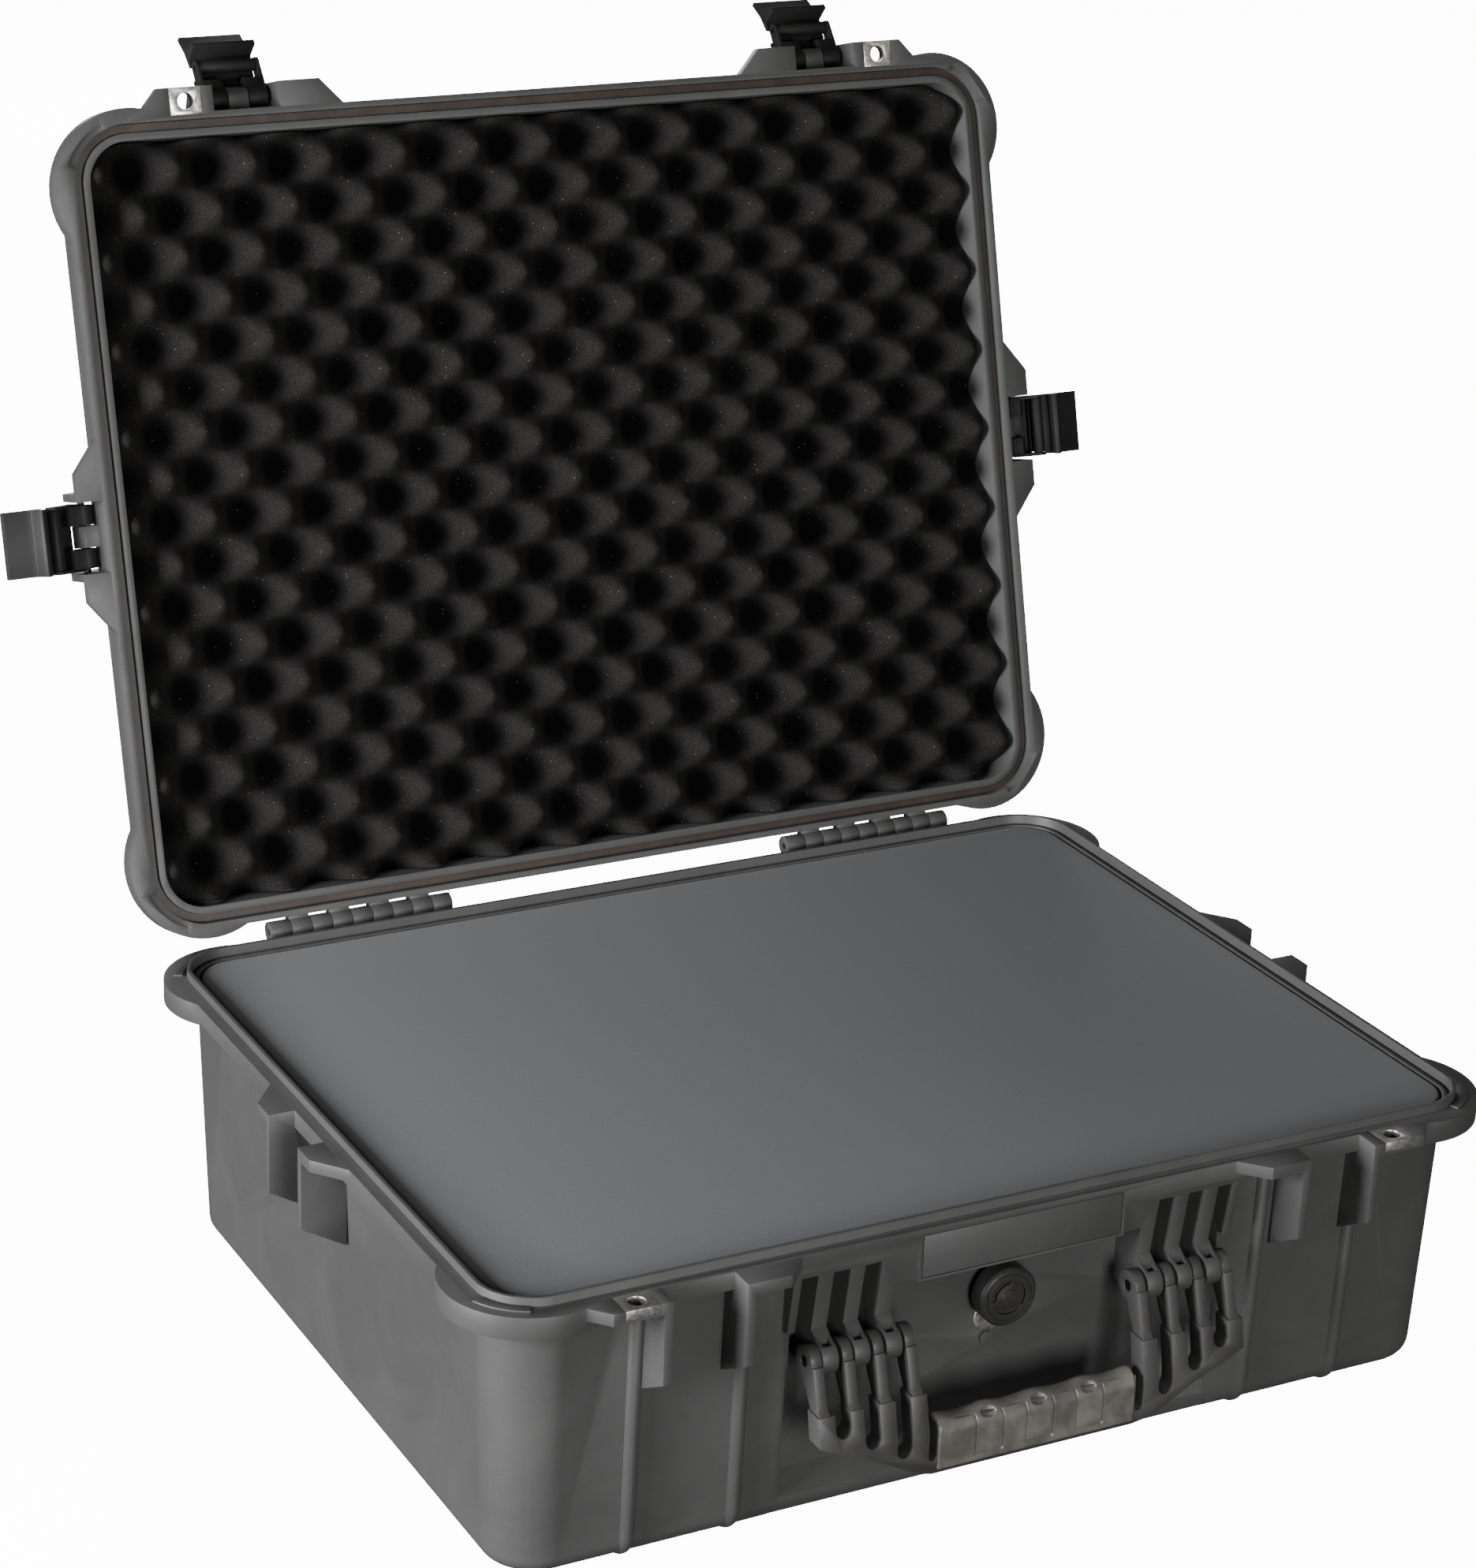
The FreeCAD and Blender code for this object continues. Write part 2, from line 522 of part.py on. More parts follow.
def lid_shell():
    """The moulded upper half, drawn closed."""
    plane = TOP + SEAT_GAP
    top = TOP + LID_H - RIB_PROUD
    body = soften(tub(WALL_X, WALL_Y, WALL_R, plane, top), BOTTOM_R, top)
    flange = slab(EDGE_X, EDGE_Y, EAR_R - 12, plane, plane + FLANGE_T)
    solids = [body, flange] + ears(plane, plane + EAR_H) + ribs(TOP, LID_H, 1)
    for name in LATCHES:
        for lug in lugs(name, 1, LID_CHEEK):
            lug.translate(V(0, 0, SEAT_GAP))
            solids.append(lug)
        deep = LATCH_OUT + FLANGE_OUT - WALL + 1.5
        middle = rod_x(LATCH_KNUCKLE_R, -TONGUE_LUG_HALF, TONGUE_LUG_HALF, 0, PIVOT_UP)
        web = prism_x([(0, PIVOT_UP - LATCH_KNUCKLE_R), (0, PIVOT_UP + LATCH_KNUCKLE_R),
                       (deep, PIVOT_UP + LATCH_KNUCKLE_R), (deep, PIVOT_UP - LATCH_KNUCKLE_R)],
                      -TONGUE_LUG_HALF, TONGUE_LUG_HALF)
        inner = LATCH_KNUCKLE_R + 0.7
        backing = prism_x([(inner, SEAT_GAP + 1), (inner, PIVOT_UP + 2), (deep, PIVOT_UP + 5), (deep, SEAT_GAP + 1)],
                          -SLOT_HALF - 1, SLOT_HALF + 1)
        solids += [at_latch(piece, name) for piece in (middle, web, backing)]
    knuckles, bores = hinge_knuckles(1, 1, HINGE_PIN_R + RUN_GAP)
    solids += knuckles
    cavity = tub(HX, HY, OPENING_R, plane, top - WALL)
    cavity = soften(cavity, BOTTOM_R - WALL, top - WALL)
    shell = join(solids).cut(cavity)
    cuts = list(bores)
    cuts.append(ring(CHANNEL_IN, CHANNEL_W, plane - 1, plane + CHANNEL_DEPTH))
    cuts.append(ring(-1.0, CHANNEL_IN + 1.0, plane - 1, plane + RIM_DROP))
    cuts += ear_pads(plane - 1, plane + PAD_RISE + 0.2, SEAT_GAP)
    room = lock_pocket(plane, 1, LOCK_FIT)
    hole = rod_z(LOCK_HOLE_R + 0.3, plane - 1, plane + 20, LOCK_X, -(EDGE_Y + LOCK_OUT))
    cuts += both_sides(room) + both_sides(hole)
    for name in LATCHES:
        reach = SLOT_HALF + LUG_CHEEK + 1
        cuts.append(at_latch(rod_x(LATCH_PIN_R, -reach, reach, 0, PIVOT_UP), name))
    return shell.cut(cuts).removeSplitter()


# ---- small fixed parts -----------------------------------------------------------------------------

def name_plate():
    """Blank plate let into the front of the base."""
    plate = box(-PLATE_HALF, PLATE_HALF, -EDGE_Y, -EDGE_Y + PLATE_T, TOP - PLATE_BOTTOM, TOP - PLATE_TOP)
    return plate


def lid_seal():
    """Seal ring at the bottom of the lid's channel."""
    top = TOP + SEAT_GAP + CHANNEL_DEPTH
    return ring(CHANNEL_IN + SEAL_SIDE, CHANNEL_W - 2 * SEAL_SIDE, top - SEAL_T, top)


def hinge_pin(side):
    """One hinge's pin."""
    half = HINGE_KNUCKLES * KNUCKLE_W / 2 - 1.0
    return rod_x(HINGE_PIN_R, side * HINGE_X - half, side * HINGE_X + half, HINGE_Y, HINGE_Z)


def base_foam():
    """Three layers of foam that fill the base, notched round the hand recess."""
    floor = RIB_PROUD + WALL
    whole = tub(HX - FOAM_GAP, HY - FOAM_GAP, OPENING_R - FOAM_GAP, TOP, floor)
    whole = soften(whole, BOTTOM_R - WALL, floor)
    half = BUMP_HALF + FOAM_CLEAR
    deep = RECESS_Y + WALL + 3 * FOAM_CLEAR
    whole = whole.cut(box(-half, half, -HY, deep, 0, TOP - BUMP_TOP + FOAM_CLEAR))
    levels = (TOP - FOAM_DROP, TOP - FOAM_SPLIT[0], TOP - FOAM_SPLIT[1], floor)
    made = []
    for high, low in zip(levels, levels[1:]):
        gap = 0.0 if low == floor else LAYER_GAP
        made.append(whole.common(box(-HX, HX, -HY, HY, low + gap, high)))
    return made


def lid_foam():
    """Foam slab that fills the lid."""
    top = TOP + LID_H - RIB_PROUD - WALL
    whole = tub(HX - FOAM_GAP, HY - FOAM_GAP, OPENING_R - FOAM_GAP, TOP, top)
    whole = soften(whole, BOTTOM_R - WALL, top)
    return whole.common(box(-HX, HX, -HY, HY, TOP + LID_FOAM_FACE, top))


# ---- vent valve --------------------------------------------------------------------------------------

def valve_body():
    """Threaded stem with a collar outside the recess wall."""
    z = TOP - VALVE_DOWN
    stem = rod_y(STEM_R, RECESS_Y - VALVE_OUT + KNOB_T - 1.0, RECESS_Y + WALL + 8, 0, z)
    return stem


def valve_nut():
    """Hexagon nut inside the recess wall."""
    z = TOP - VALVE_DOWN
    y = RECESS_Y + WALL
    r = 8.5
    outline = [(r * math.cos(math.radians(60 * i)), z + r * math.sin(math.radians(60 * i))) for i in range(6)]
    return prism_y(outline, y, y + 5).cut(rod_y(STEM_R, y - 1, y + 6, 0, z))


def valve_knob():
    """Round knob with arc slots in its face and a raised button."""
    z = TOP - VALVE_DOWN
    front = RECESS_Y - VALVE_OUT
    back = front + KNOB_T
    knob = rod_y(VALVE_R, front, back, 0, z)
    rim = [e for e in knob.Edges if abs(e.BoundBox.YMax - front) < 1e-6]
    knob = knob.makeChamfer(1.6, rim)
    seam = rod_y(VALVE_R - 3.2, front - 1, front + 0.8, 0, z).cut(rod_y(VALVE_R - 4.0, front - 2, front + 2, 0, z))
    slots = rod_y(ARC_SLOT[1], front - 1, front + 2.0, 0, z).cut(rod_y(ARC_SLOT[0], front - 2, front + 3, 0, z))
    bridge = box(-ARC_BRIDGE / 2, ARC_BRIDGE / 2, front - 2, front + 3, z, z + VALVE_R)
    for i in range(3):
        slots = slots.cut(turned(bridge, V(0, front, z), Y_AXIS, 120.0 * i + 15.0))
    knob = knob.cut([seam, slots]).fuse(rod_y(BUTTON_R, front - 1.0, front + 2.5, 0, z))
    socket = rod_y(STEM_R + RUN_GAP, back - 4.0, back + 1, 0, z)
    return knob.cut(socket).removeSplitter()


def valve_seal():
    """Ring between the knob and the recess wall."""
    z = TOP - VALVE_DOWN
    front = RECESS_Y - VALVE_OUT + KNOB_T + SEAT_GAP
    ring_y = rod_y(STEM_R + 2.8, front, RECESS_Y, 0, z)
    return ring_y.cut(rod_y(STEM_R, front - 1, RECESS_Y + 1, 0, z))


def vent_disc():
    """Steel vent disc on the recess wall."""
    disc = rod_y(VENT_R, RECESS_Y - VENT_T, RECESS_Y, VENT_X, TOP - VENT_DOWN)
    rim = [e for e in disc.Edges if abs(e.BoundBox.YMax - (RECESS_Y - VENT_T)) < 1e-6]
    return disc.makeFillet(1.0, rim)


# ---- handle ------------------------------------------------------------------------------------------

def beside_pivot(outline):
    """Turn an outline given from the handle's pivot into (y, z) points."""
    return [(HANDLE_Y + y, HANDLE_Z + z) for y, z in outline]


def handle_arm(x):
    """One arm of the handle: barrel and upper bar."""
    upper = prism_x(beside_pivot(ARM_SIDE), x - ARM_W / 2, x + ARM_W / 2)
    barrel = rod_x(ARM_R, x - ARM_W / 2, x + ARM_W / 2, HANDLE_Y, HANDLE_Z)
    return join([upper, barrel])


def handle_frame():
    """Handle frame with eight arms and the core bar under the grip."""
    y0 = HANDLE_Y - HANDLE_FACE
    y1 = y0 + HANDLE_T
    z_top = HANDLE_Z - FRAME_TOP
    outer = ARM_X[-1] + ARM_LOW_W / 2
    low = HANDLE_Z - BAR_LOW
    outline = [(0, HANDLE_Z - BAR_TOP), (GRIP_HALF, HANDLE_Z - BAR_TOP), (ARM_X[0] - ARM_LOW_W / 2, z_top),
               (outer, z_top), (outer, HANDLE_Z - 37), (94, HANDLE_Z - 49), (66, low + 3), (58, low), (0, low)]
    half = prism_y(outline, y0 - 1, HANDLE_Y).common(prism_x(beside_pivot(FRAME_SIDE), -1, outer + 1))
    for x, depth in SLOT_ENDS:
        r = 4.4
        z = HANDLE_Z - depth + r
        half = half.cut(rod_y(r, y0 - 1, HANDLE_Y, x, z))
        half = half.cut(box(x - r, x + r, y0 - 1, HANDLE_Y, z, HANDLE_Z))
    x, depth = FINGER_SLOT
    half = half.cut(rod_y(2.4, y0 - 1, HANDLE_Y, x, HANDLE_Z - depth + 2.4))
    half = half.cut(prism_y([(x - 2.4, HANDLE_Z - depth + 2.4), (x + 2.4, HANDLE_Z - depth + 2.4),
                             (x + 2.9, HANDLE_Z), (x - 2.4, HANDLE_Z)], y0 - 1, HANDLE_Y))
    inset = box(-1, GRIP_HALF, y0 - 1, y0 + BAR_INSET, HANDLE_Z - GRIP_LOW, HANDLE_Z)
    inset_back = box(-1, GRIP_HALF, y1 - BAR_INSET, HANDLE_Y, HANDLE_Z - GRIP_LOW, HANDLE_Z)
    half = half.cut(inset).cut(inset_back)
    for x in ARM_X:
        half = half.fuse(handle_arm(x))
    frame = join(both_sides(half.removeSplitter()))
    bores = both_sides(rod_x(HANDLE_PIN_R + RUN_GAP, ARM_X[0] - ARM_W, ARM_X[-1] + ARM_W, HANDLE_Y, HANDLE_Z))
    return frame.cut(bores)


def handle_grip():
    """Rubber sleeve over the handle's core bar."""
    y0 = HANDLE_Y - HANDLE_FACE
    y1 = y0 + HANDLE_T
    grip = box(-GRIP_HALF, GRIP_HALF, y0 - 0.6, y1 + 1.4, HANDLE_Z - GRIP_LOW, HANDLE_Z - GRIP_TOP)
    long_edges = [e for e in grip.Edges if e.BoundBox.XLength > GRIP_HALF and e.BoundBox.ZMax > HANDLE_Z - GRIP_TOP - 1]
    grip = grip.makeFillet(4.0, long_edges)
    core = box(-GRIP_HALF - 1, GRIP_HALF + 1, y0 + BAR_INSET, y1 - BAR_INSET, HANDLE_Z - BAR_LOW,
               HANDLE_Z - BAR_TOP)
    return grip.cut(core)


def handle_pin(side):
    """Pin through one side's knuckles."""
    a = side * (ARM_X[0] - ARM_W / 2 + 0.4)
    b = side * (ARM_X[-1] + ARM_W / 2 - 0.4)
    return rod_x(HANDLE_PIN_R, a, b, HANDLE_Y, HANDLE_Z)


# ---- latches -----------------------------------------------------------------------------------------
# Each latch is drawn hanging closed: pivot line on the local X axis at z = PIVOT_UP, inwards +Y.

def hanging(points):
    """Turn (towards the case, along the latch) points into (y, z) points."""
    return [(w, PIVOT_UP - u) for w, u in points]


def latch_link():
    """Two arms with knuckles on the lid's pin, an outer plate and ears for the second pin."""
    pieces = []
    arm = hanging([(-LATCH_KNUCKLE_R, 0), (LATCH_KNUCKLE_R - 1, 0), (LATCH_KNUCKLE_R - 1, LINK_ARM_END - 2),
                   (LATCH_KNUCKLE_R - 3, LINK_ARM_END), (-LATCH_KNUCKLE_R, LINK_ARM_END)])
    ear = hanging([(-LATCH_KNUCKLE_R + 1, LINK_PLATE[0]), (LATCH_KNUCKLE_R - 2, LINK_PLATE[0]),
                   (BAR_IN + LINK_EAR_R, BAR_U), (BAR_IN - LINK_EAR_R, BAR_U)])
    for side in (-1, 1):
        x0, x1 = side * LINK_ARM[0], side * LINK_ARM[1]
        pieces += [rod_x(LATCH_KNUCKLE_R, x0, x1, 0, PIVOT_UP), prism_x(arm, x0, x1)]
        x0, x1 = side * LINK_EAR[0], side * LINK_EAR[1]
        pieces += [rod_x(LINK_EAR_R, x0, x1, BAR_IN, PIVOT_UP - BAR_U), prism_x(ear, x0, x1)]
    outer = hanging([(-LATCH_KNUCKLE_R - 0.8, LINK_PLATE[0]), (-LATCH_KNUCKLE_R + 0.4, LINK_PLATE[0]),
                     (-LATCH_KNUCKLE_R + 0.4, LINK_PLATE[1]), (-LATCH_KNUCKLE_R - 1.8, LINK_PLATE[1])])
    pieces.append(prism_x(outer, -LINK_ARM[1], LINK_ARM[1]))
    link = join(pieces)
    link = link.cut(rod_x(LATCH_PIN_R + RUN_GAP, -20, 20, 0, PIVOT_UP))
    return link.cut(rod_x(BAR_PIN_R, -20, 20, BAR_IN, PIVOT_UP - BAR_U))


def latch_lever():
    """Lever with a bar on the second pin, an outer plate, the hooked tooth and a flared lip."""
    low = TOOTH_U + TOOTH_T
    bar = rod_x(BAR_R, -BAR_HALF, BAR_HALF, BAR_IN, PIVOT_UP - BAR_U)
    neck = prism_x(hanging([(-2.0, BAR_U - 2), (BAR_IN, BAR_U - 2), (BAR_IN, BAR_U + 2), (-2.0, BAR_U + 2)]), -BAR_HALF, BAR_HALF)
    upper = prism_x(hanging([(-4.5, LEVER_TOP), (-1.5, LEVER_TOP), (-1.5, LEVER_WIDE + 1), (-4.5, LEVER_WIDE + 1)]),
                    -BAR_HALF, BAR_HALF)
    lower = prism_x(hanging([(-4.5, LEVER_WIDE), (-1.5, LEVER_WIDE), (-1.5, TOOTH_U), (TOOTH_IN, TOOTH_U),
                             (TOOTH_IN, low - 1), (TOOTH_IN - 2, low), (1.0, low), (-1.8, low + 3.3), (-5.0, TIP_U),
                             (-8.0, TIP_U), (-4.9, low + 3.3)]), -LEVER_HALF_W, LEVER_HALF_W)
    lever = join([bar, neck, upper, lower])
    return lever.cut(rod_x(BAR_PIN_R + RUN_GAP, -20, 20, BAR_IN, PIVOT_UP - BAR_U))


def latch_pin():
    """Pin that carries the link between the lid's lugs."""
    reach = SLOT_HALF + LUG_CHEEK - 0.3
    return rod_x(LATCH_PIN_R, -reach, reach, 0, PIVOT_UP)


def bar_pin():
    """Pin between link and lever."""
    reach = LINK_EAR[1] - 0.2
    return rod_x(BAR_PIN_R, -reach, reach, BAR_IN, PIVOT_UP - BAR_U)


def at_rest(shape, name):
    """Swing a latch part to its rest angle and carry it open with the lid."""
    _, _, angle = LATCHES[name]
    swung = turned(shape, V(0, 0, PIVOT_UP), X_AXIS, -angle)
    return opened(at_latch(swung, name))


def build():
    """All the sub-parts in their rest pose, by node name."""
    parts = {"base_shell": base_shell(), "lid_shell": opened(lid_shell())}
    parts["name_plate"] = name_plate()
    parts["lid_seal"] = opened(lid_seal())
    top, middle, bottom = base_foam()
    parts["base_foam_top"] = top
    parts["base_foam_middle"] = middle
    parts["base_foam_bottom"] = bottom
    parts["lid_foam"] = opened(lid_foam())
    for label, side in (("left", -1), ("right", 1)):
        low = lock_plate(TOP, -1)
        high = lock_plate(TOP + SEAT_GAP, 1)
        if side < 0:
            low = low.mirror(V(0, 0, 0), X_AXIS)
            high = high.mirror(V(0, 0, 0), X_AXIS)
        parts["base_lock_plate_" + label] = low
        parts["lid_lock_plate_" + label] = opened(high)
        parts["hinge_pin_" + label] = hinge_pin(side)
        parts["handle_pin_" + label] = handle_pin(side)
    parts["handle_frame"] = handle_frame()
    parts["handle_grip"] = handle_grip()
    parts["valve_stem"] = valve_body()
    parts["valve_nut"] = valve_nut()
    parts["valve_knob"] = valve_knob()
    parts["valve_seal"] = valve_seal()
    parts["vent_disc"] = vent_disc()
    for name in LATCHES:
        parts["latch_link_" + name] = at_rest(latch_link(), name)
        parts["latch_lever_" + name] = at_rest(latch_lever(), name)
        parts["latch_pin_" + name] = opened(at_latch(latch_pin(), name))
        parts["latch_bar_pin_" + name] = at_rest(bar_pin(), name)
    return parts


os.makedirs("parts", exist_ok=True)
for node, shape in build().items():
    solids = shape.Solids
    print(node, len(solids), "valid" if shape.isValid() else "INVALID", round(shape.Volume / 1000, 2), "cm3")
    shape.exportStep("parts/" + node + ".step")
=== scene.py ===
"""Visual model of a hard moulded equipment case that stands open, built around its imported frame.

The CAD bodies carry the motion. This script dresses them: it rounds the moulded edges, builds the
lid foam and the grip as meshes of their own, and gives every piece its material.
"""

import json
import logging
import math
from collections.abc import Callable
from dataclasses import dataclass, field
from enum import Enum

import bmesh
import bpy
from mathutils import Matrix, Vector, noise


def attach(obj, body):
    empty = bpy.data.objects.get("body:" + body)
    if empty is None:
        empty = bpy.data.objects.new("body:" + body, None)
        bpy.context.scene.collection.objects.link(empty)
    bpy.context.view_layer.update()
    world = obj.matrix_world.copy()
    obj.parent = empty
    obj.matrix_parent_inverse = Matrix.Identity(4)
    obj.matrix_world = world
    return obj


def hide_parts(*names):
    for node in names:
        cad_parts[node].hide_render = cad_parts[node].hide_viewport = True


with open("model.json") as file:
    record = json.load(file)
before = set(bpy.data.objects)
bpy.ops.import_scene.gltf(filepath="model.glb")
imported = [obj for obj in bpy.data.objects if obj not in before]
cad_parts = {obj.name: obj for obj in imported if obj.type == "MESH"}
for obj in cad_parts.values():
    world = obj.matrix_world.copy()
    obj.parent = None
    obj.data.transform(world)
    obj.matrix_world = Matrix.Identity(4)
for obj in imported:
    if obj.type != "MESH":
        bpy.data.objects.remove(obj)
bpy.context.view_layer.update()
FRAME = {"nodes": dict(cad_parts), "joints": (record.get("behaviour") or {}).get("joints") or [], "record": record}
LOG = logging.getLogger("case")
MM = 0.001
WELD_M = 2e-6
FLAT_DEG = 0.5
BEVEL_DEG = 35
SOFT_FORM_DEG = 50


class Side(Enum):
    """Left or right of the case's middle plane."""

    LEFT = -1
    RIGHT = 1


class Place(Enum):
    """Where a latch sits on the lid."""

    LEFT = "left"
    RIGHT = "right"
    FRONT_LEFT = "front_left"
    FRONT_RIGHT = "front_right"


def linear(hex_code: str) -> tuple[float, float, float, float]:
    """Turn an sRGB hex colour into linear RGBA.

    Args:
        hex_code: six hex digits with a leading #.

    Returns:
        The colour as Blender's sockets want it.
    """
    values = [int(hex_code[i:i + 2], 16) / 255 for i in (1, 3, 5)]
    channels = [v / 12.92 if v <= 0.04045 else ((v + 0.055) / 1.055) ** 2.4 for v in values]
    return (*channels, 1.0)


class Graph:
    """A material's node tree, with one way of adding nodes."""

    def __init__(self, name: str) -> None:
        """Start an empty material with that name."""
        self.material = bpy.data.materials.new(name)
        self.material.use_nodes = True
        self.tree = self.material.node_tree
        self.tree.nodes.clear()

    def add(self, kind: str, inputs: dict | None = None, **settings) -> bpy.types.Node:
        """Add a node, set its properties and fill or link its inputs.

        Args:
            kind: node class name without the ShaderNode prefix.
            inputs: socket name or index to a value or another node's output.
            settings: node properties.

        Returns:
            The new node.
        """
        node = self.tree.nodes.new("ShaderNode" + kind)
        for key, value in settings.items():
            setattr(node, key, value)
        for key, value in (inputs or {}).items():
            if isinstance(value, bpy.types.NodeSocket):
                self.tree.links.new(value, node.inputs[key])
            else:
                node.inputs[key].default_value = value
        return node

    def ramp(self, fac: bpy.types.NodeSocket,
             stops: list[tuple[float, tuple]]) -> bpy.types.NodeSocket:
        """Map a factor to colours.

        Args:
            fac: the driving value.
            stops: positions and colours, in order.

        Returns:
            The colour output.
        """
        node = self.add("ValToRGB", {"Fac": fac})
        band = node.color_ramp
        while len(band.elements) < len(stops):
            band.elements.new(0.5)
        for element, (place, colour) in zip(band.elements, stops):
            element.position = place
            element.color = colour
        return node.outputs["Color"]

    def finish(self, shader: bpy.types.Node) -> bpy.types.Material:
        """Link the surface shader to the output and return the material."""
        self.add("OutputMaterial", {"Surface": shader.outputs[0]})
        return self.material


def grain_scale(size_mm: float) -> float:
    """Texture scale that gives features of a real size on an object in metres."""
    return 1.0 / (size_mm * MM)


@dataclass(frozen=True)
class SparkErodedPolypropylene:
    """Filled polypropylene copolymer from a spark-eroded mould.

    It gives the eye a dull, finely pebbled and faintly mottled skin.
    """

    name: str
    base: str
    mottle: str
    roughness: float = 0.52
    gloss: float = 0.42
    pebble_mm: float = 0.9
    pebble_depth_mm: float = 0.05
    mottle_mm: float = 70.0
    speckle: float = 0.22

    def build(self) -> bpy.types.Material:
        """Make the material."""
        g = Graph(self.name)
        place = g.add("TexCoord").outputs["Object"]
        patches = g.add("TexNoise", {"Vector": place, "Scale": grain_scale(self.mottle_mm),
                                     "Detail": 5.0, "Roughness": 0.62, "Distortion": 0.7})
        colour = g.ramp(patches.outputs["Fac"],
                        [(0.35, linear(self.base)), (0.72, linear(self.mottle))])
        pebbles = g.add("TexNoise", {"Vector": place, "Scale": grain_scale(self.pebble_mm),
                                     "Detail": 3.0, "Roughness": 0.6})
        speckled = g.add("MixRGB", {0: self.speckle, 1: colour, 2: pebbles.outputs["Color"]},
                         blend_type="SOFT_LIGHT")
        sheen = g.add("MapRange", {"Value": patches.outputs["Fac"],
                                   "From Min": 0.3, "From Max": 0.7,
                                   "To Min": self.roughness + 0.05,
                                   "To Max": self.roughness - 0.06})
        bump = g.add("Bump", {"Height": pebbles.outputs["Fac"],
                              "Distance": self.pebble_depth_mm * MM, "Strength": 1.0})
        shader = g.add("BsdfPrincipled", {"Base Color": speckled.outputs[0],
                                          "Roughness": sheen.outputs[0],
                                          "Normal": bump.outputs[0], "IOR": 1.49,
                                          "Specular IOR Level": self.gloss})
        return g.finish(shader)


@dataclass(frozen=True)
class PolyurethaneFoam:
    """Open-cell polyurethane foam, cut: matt, with fine cells whose glints of light are painted into the colour as
    pale specks, and an optional painted shade in its pits.
    """

    name: str
    base: str
    lit: str
    glint_speck: str
    cell_mm: float = 1.1
    cell_depth_mm: float = 0.25
    glint_share: float = 0.70
    sheen: float = 0.12
    # Colour of the painted shade in the foam's pits, and the pit depth where that shade starts.
    pit: str | None = None
    pit_shade_starts: float = 0.42
    glint_spacing: float = 3.2

    def build(self) -> bpy.types.Material:
        """Make the material."""
        g = Graph(self.name)
        place = g.add("TexCoord").outputs["Object"]
        cells = g.add("TexNoise", {"Vector": place, "Scale": grain_scale(self.cell_mm),
                                   "Detail": 2.5, "Roughness": 0.7})
        tone = g.ramp(cells.outputs["Fac"], [(0.35, linear(self.base)), (0.65, linear(self.lit))])
        # Painted shade: the colour darkens towards the pit colour deep in the egg-crate pits, where shade falls.
        if self.pit:
            depth = g.add("Attribute", attribute_name="pit").outputs["Fac"]
            pit_shade_amount = g.add("MapRange", {"Value": depth, "From Min": self.pit_shade_starts, "From Max": 1.0},
                         interpolation_type="SMOOTHSTEP")
            tone = g.add("MixRGB", {0: pit_shade_amount.outputs[0], 1: tone, 2: linear(self.pit)}).outputs[0]
        # Painted highlight: scattered cells get a pale speck in the colour, standing for glints of light off the
        # cut cells.
        glint_cells = g.add("TexVoronoi", {"Vector": place,
                                      "Scale": grain_scale(self.cell_mm * self.glint_spacing)})
        glint = g.add("MapRange", {"Value": glint_cells.outputs["Distance"],
                                   "From Min": 0.11, "From Max": 0.04})
        chance = g.add("SeparateColor", {"Color": glint_cells.outputs["Color"]})
        some = g.add("Math", {0: chance.outputs[0], 1: self.glint_share}, operation="GREATER_THAN")
        amount = g.add("Math", {0: glint.outputs[0], 1: some.outputs[0]}, operation="MULTIPLY")
        colour = g.add("MixRGB", {0: amount.outputs[0], 1: tone, 2: linear(self.glint_speck)})
        bump = g.add("Bump", {"Height": cells.outputs["Fac"],
                              "Distance": self.cell_depth_mm * MM, "Strength": 0.9})
        shader = g.add("BsdfPrincipled", {"Base Color": colour.outputs[0], "Roughness": 0.95,
                                          "Normal": bump.outputs[0], "IOR": 1.4,
                                          "Sheen Weight": self.sheen, "Sheen Roughness": 0.6,
                                          "Specular IOR Level": 0.15})
        return g.finish(shader)


@dataclass(frozen=True)
class MouldedRubber:
    """Moulded elastomer: soft highlights, and lighter random patches in its colour; on the grip these patches are
    a painted highlight mottle.
    """

    name: str
    base: str
    mottle_and_highlight: str
    roughness: float = 0.5
    mottle_and_highlight_mm: float = 16.0
    grain_mm: float = 0.8
    grain_depth_mm: float = 0.03

    def build(self) -> bpy.types.Material:
        """Make the material."""
        g = Graph(self.name)
        place = g.add("TexCoord").outputs["Object"]
        # Lighter patches in the colour: on the grip they are a painted highlight mottle.
        mottle_and_highlight_noise = g.add("TexNoise", {"Vector": place, "Scale": grain_scale(self.mottle_and_highlight_mm),
                                  "Detail": 6.0, "Roughness": 0.6, "Distortion": 0.4})
        colour = g.ramp(mottle_and_highlight_noise.outputs["Fac"],
                        [(0.38, linear(self.base)), (0.68, linear(self.mottle_and_highlight))])
        grain = g.add("TexNoise", {"Vector": place, "Scale": grain_scale(self.grain_mm),
                                   "Detail": 2.0})
        bump = g.add("Bump", {"Height": grain.outputs["Fac"],
                              "Distance": self.grain_depth_mm * MM, "Strength": 1.0})
        shader = g.add("BsdfPrincipled", {"Base Color": colour, "Roughness": self.roughness,
                                          "Normal": bump.outputs[0], "IOR": 1.52})
        return g.finish(shader)


